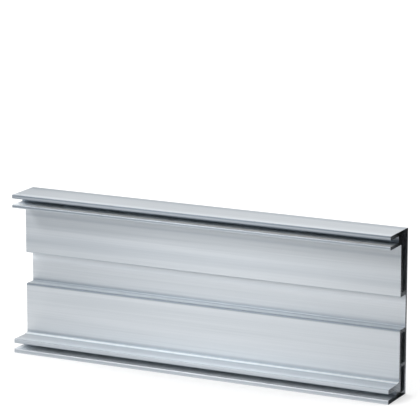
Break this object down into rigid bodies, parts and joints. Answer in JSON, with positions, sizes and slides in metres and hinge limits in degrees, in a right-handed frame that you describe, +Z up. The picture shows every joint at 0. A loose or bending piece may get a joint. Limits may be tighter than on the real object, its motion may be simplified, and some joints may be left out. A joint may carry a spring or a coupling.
{
  "type": "mounting rail",
  "caption": "Straight length of hollow aluminium mounting rail with a hook groove along its top, a screw groove along its base and a recess in its front, for hanging on modules.",
  "frame": {"origin": "middle of the base, on the surface that the rail stands on", "axes": "+X along the rail, -Y out of its front with the grooves, +Y out of its flat back, +Z up from the base to the top flange"},
  "size_m": [0.306, 0.0316, 0.122],
  "materials": {
    "extruded_aluminium": "satin mill finish with fine lengthwise die lines and sawn ends"
  },
  "bodies": {
    "root": {"rail": "extruded_aluminium"}
  },
  "joints": []
}
